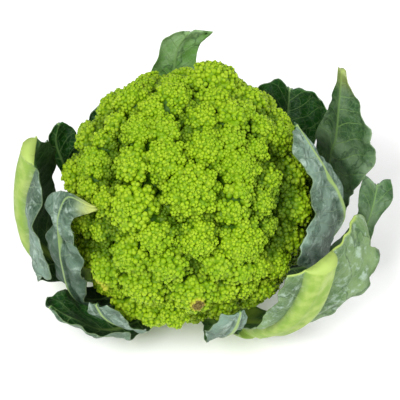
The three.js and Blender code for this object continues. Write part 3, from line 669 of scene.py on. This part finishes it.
def floret_buds(florets, index):
    """Places, normals and widths of the buds that spiral out from a floret's tip."""
    axis = florets.axes[index]
    half = florets.halves[index]
    side, other = sides_of(axis)
    shares = np.linspace(0, FLORET_REACH, SPIRAL_STEPS)
    steep = florets.depths[index] * dome_slope(shares) / half
    skin = 2 * math.pi * shares * half**2 * np.sqrt(1 + steep**2)
    density = skin / (BUD_PACKING * bud_width(half, shares) ** 2)
    counts = np.concatenate([[0], np.cumsum((density[1:] + density[:-1]) / 2 * shares[1])])
    step = np.arange(int(counts[-1]))
    share = np.interp(step + FIRST_BUD, counts, shares)
    away = share * half / HEAD_RADIUS
    turn = step * GOLDEN_ANGLE + index
    directions = axis * np.cos(away)[:, None]
    directions = directions + side * (np.sin(away) * np.cos(turn))[:, None]
    directions = directions + other * (np.sin(away) * np.sin(turn))[:, None]
    radii, owners = florets.surface(directions)
    shown = (owners == index) & (directions[:, 2] > math.cos(RIM_ANGLE))
    normals = florets.normals(index, directions)
    places = directions * radii[:, None] - normals * BUD_SINK
    return places[shown], normals[shown], bud_width(half, share)[shown]


def bud_pearls(place, normal, width, pearl_width, turn):
    """Places, normals, sizes and lows of a bud's pearls, from tip to foot, and of its body.

    A low is 0 at the tip and 1 at the foot; it sets the painted light at a bud's tip and the painted shade
    at its foot.
    """
    side, other = sides_of(normal)
    count = int(np.clip(round((width / pearl_width) ** 2), *PEARL_RANGE))
    step = np.arange(count)
    share = (step + FIRST_PEARL) / count
    away = share**PEARL_GROWTH
    angles = step * GOLDEN_ANGLE + turn
    outward = side * np.cos(angles)[:, None] + other * np.sin(angles)[:, None]
    height = BUD_HEIGHT * width
    rise = height * (1 - away**BUD_CURVE)
    steep = height * BUD_CURVE * away ** (BUD_CURVE - 1) / (width / 2)
    places = place + outward * (away * width * BUD_FOOT)[:, None] + normal * rise[:, None]
    normals = unit(normal + outward * steep[:, None])
    area = math.pi * width**2 / 2 * PEARL_GROWTH * share ** (2 * PEARL_GROWTH - 1) / count
    half = PEARL_SPREAD * np.sqrt(area)
    sizes = np.stack([half, half * PEARL_RISE], axis=1)
    return (
        np.vstack([places, place]),
        np.vstack([normals, normal]),
        np.vstack([sizes, (BODY_HALF * width, BODY_HEIGHT * height)]),
        np.append(away, BODY_LOW),
    )


def pearl_shape():
    """A small dome's points, from its tip down two rings, its faces, and the tone of each point: painted
    highlight at the tip, painted shade at the base.
    """
    points = [(0, 0, PEARL_TIP)]
    tones = [1.0]
    for radius, height, offset, tone in PEARL_RINGS:
        for step in range(PEARL_SIDES):
            angle = (step + offset) * 2 * math.pi / PEARL_SIDES
            points.append((radius * math.cos(angle), radius * math.sin(angle), height))
            tones.append(tone)
    faces = []
    for step in range(PEARL_SIDES):
        after = (step + 1) % PEARL_SIDES
        upper, upper_after = 1 + step, 1 + after
        lower, lower_after = upper + PEARL_SIDES, upper_after + PEARL_SIDES
        faces.append((0, upper, upper_after))
        faces.append((upper, lower, upper_after))
        faces.append((upper_after, lower, lower_after))
    return np.array(points), np.array(faces), np.array(tones)


def spread_pearls(places, normals, sizes, draw):
    """A pearl's shape on each place: points, faces, a flat UV cell each, tones for painted highlight and
    painted shade, and tints.
    """
    shape, shape_faces, shape_tone = pearl_shape()
    helper = np.where(np.abs(normals[:, 2:]) < 0.9, [[0.0, 0.0, 1.0]], [[1.0, 0.0, 0.0]])
    side = unit(np.cross(helper, normals))
    other = np.cross(normals, side)
    sizes = sizes * draw.uniform(*PEARL_JITTER, (len(sizes), 1))
    flat = side[:, None] * shape[:, 0:1] + other[:, None] * shape[:, 1:2]
    raised = normals[:, None] * shape[:, 2:3]
    points = places[:, None] + flat * sizes[:, :1, None] + raised * sizes[:, 1:, None]
    faces = shape_faces[None] + (np.arange(len(places)) * len(shape))[:, None, None]
    cells = math.ceil(math.sqrt(len(places)))
    cell = np.arange(len(places))
    corner = np.stack([cell % cells, cell // cells], axis=1)
    uv = (corner[:, None] + 0.5 + UV_CELL_HALF * shape[None, :, :2]) / cells
    tone = np.tile(shape_tone, len(places))
    tint = np.repeat(draw.uniform(0, 1, len(places)), len(shape))
    return points.reshape(-1, 3), faces.reshape(-1, 3), uv.reshape(-1, 2), tone, tint


def painted_shade_depth(points):
    """How much painted shade a point gets: 0 on the outside of the head, 1 in the deepest gaps between
    florets.
    """
    radii = np.linalg.norm(points, axis=1)
    return smoothstep(HEAD_RADIUS - DEEP_FROM, HEAD_RADIUS - DEEP_TO, radii)


def bruises(points):
    """How brown each point is, from the few bruised places on the seen side."""
    brown = np.zeros(len(points))
    for across, up, radius, strength in BRUISES:
        away = np.linalg.norm(points - BRUISE_LIFT * seen_place(across, up), axis=1)
        fade = 1 - smoothstep(BRUISE_HEART * radius, radius, away)
        brown = np.maximum(brown, strength * fade)
    return brown


def build_curd(material):
    """The head's pearls in a few pieces round its axis, over a smooth core."""
    florets = Florets()
    draw = np.random.default_rng(5)
    round_axis = np.argsort(np.arctan2(florets.axes[:, 1], florets.axes[:, 0]))
    for number, members in enumerate(np.array_split(round_axis, CURD_PIECES)):
        parts = []
        for index in members:
            pearl_width = draw.uniform(*PEARL_WIDTH)
            for place, normal, width in zip(*floret_buds(florets, index)):
                shifted = place + draw.normal(0, 0.5 * BUD_JITTER, 3) * width
                sized = width * draw.uniform(1 - BUD_JITTER, 1 + BUD_JITTER)
                leaning = unit(normal + draw.normal(0, BUD_JITTER, 3))
                turn = draw.uniform(0, 2 * math.pi)
                parts.append(bud_pearls(shifted, leaning, sized, pearl_width, turn))
        places, normals, sizes, lows = (np.concatenate(part) for part in zip(*parts))
        points, faces, uv, tone, tint = spread_pearls(places, normals, sizes, draw)
        # tone, deep and low carry each point's painted highlight and painted shade
        values = {
            "tone": tone,
            "tint": tint,
            "deep": painted_shade_depth(points),
            "brown": bruises(points),
            "branch": np.zeros(len(points)),
            "low": np.repeat(lows, len(points) // len(lows)),
        }
        name = f"curd_florets_{number + 1}"
        make_piece(name, points + HEAD_CENTRE, faces, values, material, "curd", uv)
    build_core(florets, material)


def underside_radius(polar):
    """Distance from the head's centre to its underside: a shallow cone, then flat over the stem."""
    floor = HEAD_CENTRE[2] - STEM_HEIGHT - FIT_GAP
    rim_depth = -RIM_RADIUS / math.tan(RIM_ANGLE)
    slope = (floor - rim_depth) / (RIM_RADIUS - NECK_RADIUS)
    cone = (rim_depth + RIM_RADIUS * slope) / (slope * np.sin(polar) - np.cos(polar))
    return np.where(polar > NECK_ANGLE, -floor / np.cos(polar), cone)


def build_core(florets, material):
    """The flesh under the pearls, and the pale branches that run in to the stem below."""
    down = np.linspace(POLE_GAP, math.pi - POLE_GAP, CORE_ROWS)
    around = np.linspace(0, 2 * math.pi, CORE_COLUMNS, endpoint=False)
    polar, azimuth = (grid.ravel() for grid in np.meshgrid(down, around, indexing="ij"))
    flat = np.sin(polar)
    directions = np.stack([flat * np.cos(azimuth), flat * np.sin(azimuth), np.cos(polar)], axis=-1)
    before, beyond = RIM_BLEND
    under = smoothstep(RIM_ANGLE - before, RIM_ANGLE + beyond, polar)
    above = florets.surface(directions)[0] - BUD_SINK - CORE_SINK
    neck = smoothstep(NECK_ANGLE, NECK_ANGLE - NECK_BLEND, polar)
    wander = 0.4 * np.sin(3 * azimuth)
    ridges = np.abs(np.cos(BRANCHES / 2 * azimuth + wander)) ** BRANCH_ROUNDING
    below = underside_radius(np.maximum(polar, RIM_ANGLE - UNDERSIDE_OVERLAP))
    below = below - neck * BRANCH_DEPTH * (1 - ridges)
    radii = above * (1 - under) + below * under
    points = directions * radii[:, None] + HEAD_CENTRE
    none = np.zeros(len(points))
    # Painted shade: the core seen between buds is as dark as the deepest gaps, and the underside is shaded
    # too, most in the grooves between branch ridges
    values = {
        "tone": 0.3 * under,
        "tint": none,
        "deep": np.where(under > 0.5, 0.6 * (1 - ridges), 1.0),
        "brown": none,
        "branch": under * (0.35 + 0.65 * ridges),
        "low": np.ones(len(points)),
    }
    faces = grid_faces(CORE_ROWS, CORE_COLUMNS, True)
    make_piece("curd_core", points, faces, values, material, "curd")


def place_at(turn, far, height):
    """A leaf's place as x, y and z."""
    angle = math.radians(turn)
    return far * math.cos(angle), far * math.sin(angle), height


def smooth_line(points):
    """A centripetal Catmull-Rom line, as a function of the share of its length, and the length."""
    points = np.array(points)
    ends = np.vstack([2 * points[0] - points[1], points, 2 * points[-1] - points[-2]])
    parts = []
    share = np.linspace(0, 1, 40, endpoint=False)[:, None]
    for before, start, end, after in zip(ends, ends[1:], ends[2:], ends[3:]):
        first = math.sqrt(np.linalg.norm(start - before))
        middle = math.sqrt(np.linalg.norm(end - start))
        last = math.sqrt(np.linalg.norm(after - end))
        leave = (start - before) / first - (end - before) / (first + middle) + (end - start) / middle
        reach = (end - start) / middle - (after - start) / (middle + last) + (after - end) / last
        leave, reach = leave * middle, reach * middle
        parts.append(
            start
            + leave * share
            + (3 * (end - start) - 2 * leave - reach) * share**2
            + (2 * (start - end) + leave + reach) * share**3
        )
    dense = np.vstack(parts + [points[-1:]])
    lengths = np.concatenate([[0], np.cumsum(np.linalg.norm(np.diff(dense, axis=0), axis=1))])

    def at(shares):
        along = shares * lengths[-1]
        return np.stack([np.interp(along, lengths, dense[:, axis]) for axis in range(3)], axis=-1)

    return at, lengths[-1]


def soften(rows, times):
    """Neighbouring rows averaged, with both ends kept."""
    for _ in range(times):
        rows[1:-1] = 0.25 * rows[:-2] + 0.5 * rows[1:-1] + 0.25 * rows[2:]
    return rows


def ragged_width(leaf, share, sign):
    """The share of its full width that a leaf keeps between its teeth, fringe and nicks."""
    size, count = leaf["teeth"]
    teeth = size * np.abs(np.sin(math.pi * count * share + sign))
    fringe = FRINGE * np.abs(np.sin(29 * share + 3 * sign) * np.sin(47 * share + sign))
    return 1 - teeth - fringe - NICKS * np.abs(np.sin(90 * share))


def leaf_rows(leaf):
    """For rows along a leaf: its midrib, both edges, outward normals and the rib's size."""
    midrib, length = smooth_line([place_at(*place) for place in leaf["midrib"]])
    along = np.linspace(0, 1, leaf["rows"])
    middle = midrib(along)
    upward = unit(np.gradient(middle, axis=0))
    radial = unit(middle * [1, 1, 0])
    around = np.stack([-radial[:, 1], radial[:, 0], np.zeros(len(along))], axis=1)
    share = np.clip((along - leaf["bare"]) / (1 - leaf["bare"]), 0, 1)
    foot_half, foot_depth, tip_half, tip_depth = leaf["rib"]
    rib_half = foot_half + (tip_half - foot_half) * along
    rib_depth = foot_depth + (tip_depth - foot_depth) * along
    least = rib_half + LEAST_BLADE
    edges = {}
    for key, sign in (("plus", 1), ("minus", -1)):
        line, _ = smooth_line([midrib(leaf["bare"]), *(place_at(*place) for place in leaf[key])])
        span = (line(share) - middle) * ragged_width(leaf, share, sign)[:, None]
        thin = (np.linalg.norm(span, axis=1) < least) | (share <= 0)
        span[thin] = (around * sign * least[:, None])[thin]
        edges[key] = middle + soften(span, 1)
    across = unit(np.cross(edges["plus"] - edges["minus"], upward))
    return SimpleNamespace(
        share=share, middle=middle, edges=edges, outward=unit(soften(across, 3)),
        rib_half=rib_half, rib_depth=rib_depth, along=along * length,
    )


def vein_places(leaf, along, distance, sign):
    """How many side veins and cross veins, which wander a little, lie before each point."""
    side_vein = (along - VEIN_LEAN * distance - VEIN_BEND * distance**2) / leaf["pitch"]
    side_vein = side_vein + (0.5 if sign > 0 else 0)
    side_vein = side_vein + SIDE_WANDER * np.sin(0.21 * distance + along * 0.13 + sign)
    cross_vein = (along * CROSS_ALONG + CROSS_OUT * distance) / (leaf["pitch"] * CROSS_PITCH)
    cross_vein = cross_vein + CROSS_WANDER * np.sin(0.33 * along + sign)
    return side_vein, cross_vein


def fold_across(leaf, share, width):
    """How deep a leaf's fold is at a share of its length, if the fold is so wide."""
    place, depth = leaf["fold"]
    return depth * np.exp(-(((share - place) / width) ** 2))


def blade_lift(leaf, spot, sign):
    """How far each point is raised from the flat blade by its bow, ruffles, quilting and folds."""
    height, waves = leaf["ruffle"]
    fine_height, fine_waves = FINE_RUFFLE
    wave = np.sin(2 * math.pi * waves * spot.share + EDGES_OUT_OF_STEP * sign)
    fine = fine_height * np.sin(2 * math.pi * fine_waves * waves * spot.share + sign)
    ruffle = height * (wave + fine * spot.part**2) * spot.part**2
    between_veins = np.abs(np.sin(math.pi * (spot.side_vein - 0.5))) ** 0.7
    quilt = between_veins * QUILT_HEIGHT * smoothstep(0, 0.25, spot.reach)
    along, distance = spot.along, spot.distance
    wrinkles = np.sin(0.19 * along + 0.23 * distance + 2 * sign)
    wrinkles = wrinkles * np.sin(0.31 * distance - 0.11 * along)
    fold = fold_across(leaf, spot.share, FOLD_WIDTH)
    bow = leaf["bulge"] * 4 * spot.part * (1 - spot.part) * spot.free
    return bow + (ruffle + quilt + WRINKLE_HEIGHT * wrinkles * spot.reach - fold) * spot.free


def rib_tones(leaf, share, half, distance):
    """How much each point is rib, on the inner and the outer face."""
    across = distance / half
    slender = leaf["rib_shows"] * (1 - smoothstep(0.25, 0.6, across))
    stout = smoothstep(*STOUT_RIB, half)
    outer = slender * (1 - stout) + (1 - smoothstep(0.9, 1.12, across)) * stout
    bare = 1 - smoothstep(0.0, 0.12, share)
    inner = np.maximum(1 - smoothstep(0.12, 0.34, across), outer * bare)
    return inner, outer


def leaf_side(leaf, rows, key, sign):
    """One half of a leaf, from beside the midrib to its edge, as rows on both faces."""
    span = rows.edges[key] - rows.middle
    width = np.linalg.norm(span, axis=1)[:, None]
    half = rows.rib_half[:, None]
    beyond = np.linspace(0, 1, leaf["columns"])
    distance = np.hstack([half * RIB_SHARES, half + (width - half) * beyond])
    spot = SimpleNamespace(
        share=rows.share[:, None], along=rows.along[:, None], distance=distance,
        part=distance / width, free=np.maximum(0, width - half - 2 * BLADE_THICKNESS) / width,
        reach=np.clip((distance - half) / np.maximum(width - half, 1e-3), 0, 1),
    )
    spot.side_vein, spot.cross_vein = vein_places(leaf, spot.along, distance, sign)
    spot.inner_rib, spot.outer_rib = rib_tones(leaf, spot.share, half, distance)
    lift = blade_lift(leaf, spot, sign)[..., None]
    outward = rows.outward[:, None]
    spot.inner = rows.middle[:, None] + span[:, None] * spot.part[..., None] + outward * lift
    blade = BLADE_THICKNESS * (1 - EDGE_THINNING * spot.reach**4)
    round_rib = np.sqrt(np.clip(1 - (distance / half) ** 2, 0, 1))
    flutes = 1 + FLUTE_DEPTH * np.cos(14 * distance / half)
    thick = blade + rows.rib_depth[:, None] * round_rib * flutes
    spot.outer = spot.inner + outward * thick[..., None]
    return spot


def closed_skin(rows, columns):
    """Faces of a thin sheet: an inner grid, an outer grid after it, and the rim between."""
    size = rows * columns
    inner = grid_faces(rows, columns, False)
    outer = inner[:, ::-1] + size
    border = np.concatenate([
        np.arange(columns - 1),
        np.arange(rows - 1) * columns + columns - 1,
        size - 1 - np.arange(columns - 1),
        (rows - 1 - np.arange(rows - 1)) * columns,
    ])
    onward = np.roll(border, -1)
    rim = np.stack([border, onward, onward + size, border + size], axis=1)
    return np.concatenate([inner, outer, rim])


def build_leaf(name, shape, looks):
    """A leaf as one closed skin, whose outer face has the rib."""
    leaf = {**LEAF_DEFAULTS, **shape}
    rows = leaf_rows(leaf)
    plus = leaf_side(leaf, rows, "plus", 1)
    minus = leaf_side(leaf, rows, "minus", -1)

    def across(key, centre):
        left, right = getattr(minus, key), getattr(plus, key)
        return np.concatenate([left[:, ::-1], centre[:, None], right], axis=1)

    ridge = rows.middle + rows.outward * (BLADE_THICKNESS + rows.rib_depth)[:, None]
    inner = across("inner", rows.middle)
    outer = across("outer", ridge)
    count, breadth = inner.shape[:2]
    points = np.concatenate([inner.reshape(-1, 3), outer.reshape(-1, 3)])

    share = rows.share[:, None] + np.zeros(breadth)
    shade_to, shade_strength = leaf["shade"]
    shade = shade_strength * (1 - smoothstep(shade_to - 0.1, shade_to, share))
    shade = np.maximum(shade, CREASE_SHADE * fold_across(leaf, share, CREASE_WIDTH))
    cut = np.zeros((count, breadth))
    cut[-1] = leaf["cut"]
    on_both = {
        "side_vein": across("side_vein", plus.side_vein[:, 0]),
        "cross_vein": across("cross_vein", plus.cross_vein[:, 0]),
        "reach": across("reach", plus.reach[:, 0]),
        "stout": smoothstep(*STOUT_RIB, rows.rib_half[:, None] + np.zeros(breadth)),
        "cut": cut,
        "shade": shade,
        "yellow": leaf["yellow"] * smoothstep(YELLOW_FROM, 1, share),
    }
    values = {key: np.tile(numbers.ravel(), 2) for key, numbers in on_both.items()}
    values["side"] = np.repeat([0.0, 1.0], count * breadth)
    ribs = [across(key, np.ones(count)) for key in ("inner_rib", "outer_rib")]
    values["rib"] = np.concatenate(ribs).ravel()
    faces = closed_skin(count, breadth)
    make_piece(name + "_blade", points, faces, values, looks[leaf["look"]], name)


def build_stem(material):
    """The cut stem: a turned shape with low fibres and the scars of leaves trimmed off."""
    profile = np.array(STEM_PROFILE, float)
    turn = np.linspace(0, 2 * math.pi, STEM_SIDES, endpoint=False)
    radius = profile[:, 0][:, None] + 0 * turn
    height = profile[:, 1][:, None] + 0 * turn
    on_side = (height > 1) & (height < STEM_HEIGHT - 1)
    fibres = FIBRE_DEPTH * np.abs(np.sin(9 * turn + 0.05 * height))
    scars = SCAR_DEPTH * np.maximum(0, np.sin(5 * turn + 0.3 * height)) ** 3
    radius = radius - np.where(on_side, fibres + scars, 0)
    points = np.stack([radius * np.cos(turn), radius * np.sin(turn), height], axis=-1).reshape(-1, 3)
    facing_out = grid_faces(len(profile), STEM_SIDES, True)[:, [0, 3, 2, 1]]
    values = {
        "cut": np.where(points[:, 2] < 0.5, 1.0, 0.0),
        "ring": np.hypot(points[:, 0], points[:, 1]) / STEM_RADIUS,
    }
    make_piece("stem_core", points, facing_out, values, material, "stem")


def make_table():
    """A white table that the head stands on."""
    look = Look("table")
    tone = look.mix(look.ease(look.noise(3, 2), 0.3, 0.7), "table", "table_light")
    mesh = bpy.data.meshes.new("table")
    corners = [(x * TABLE_REACH, y * TABLE_REACH, 0) for x, y in ((-1, -1), (1, -1), (1, 1), (-1, 1))]
    mesh.from_pydata(corners, [], [(0, 1, 2, 3)])
    mesh.materials.append(look.finish(tone, 0.6))
    table = add_object("table", mesh)


def turned_to(direction):
    """The rotation of a lamp or camera that looks along a direction."""
    return Vector(direction).to_track_quat("-Z", "Y").to_euler()


def light_scene():
    """Soft, nearly even light from a white sky, a lamp above the left and a weaker one at the right."""
    world = bpy.data.worlds.new("room")
    world.use_nodes = True
    background = world.node_tree.nodes["Background"]
    background.inputs["Color"].default_value = (1, 1, 1, 1)
    background.inputs["Strength"].default_value = SKY_STRENGTH
    scene = bpy.context.scene
    scene.world = world
    for name, (place, size, watts) in LAMPS.items():
        data = bpy.data.lights.new(name, "AREA")
        data.shape = "DISK"
        data.size = size
        data.energy = watts
        light = add_object(name, data)
        light.location = place
        light.rotation_euler = turned_to(Vector(LAMPS_FACE) - Vector(place))
    scene.view_settings.view_transform = "Standard"
    scene.view_settings.look = "None"


def place_camera():
    """Looks at the head's centre, moved aside a little as the photograph is framed."""
    data = bpy.data.cameras.new("camera")
    data.sensor_width = SENSOR_WIDTH
    data.lens = SENSOR_WIDTH * VIEW_DISTANCE / FRAME_WIDTH
    camera = add_object("camera", data)
    target = HEAD_CENTRE + VIEW_RIGHT * FRAME_SHIFT[0] + VIEW_UP * FRAME_SHIFT[1]
    camera.location = Vector((target + VIEW_NEAR * VIEW_DISTANCE) * MM)
    camera.rotation_euler = turned_to(-VIEW_NEAR)
    bpy.context.scene.camera = camera


place_camera()
light_scene()
make_table()
build_curd(curd_look())
build_stem(stem_look())
leaf_materials = {name: leaf_look(name, *look) for name, look in LEAF_LOOKS.items()}
for leaf_name, leaf_shape in LEAVES.items():
    build_leaf(leaf_name, leaf_shape, leaf_materials)
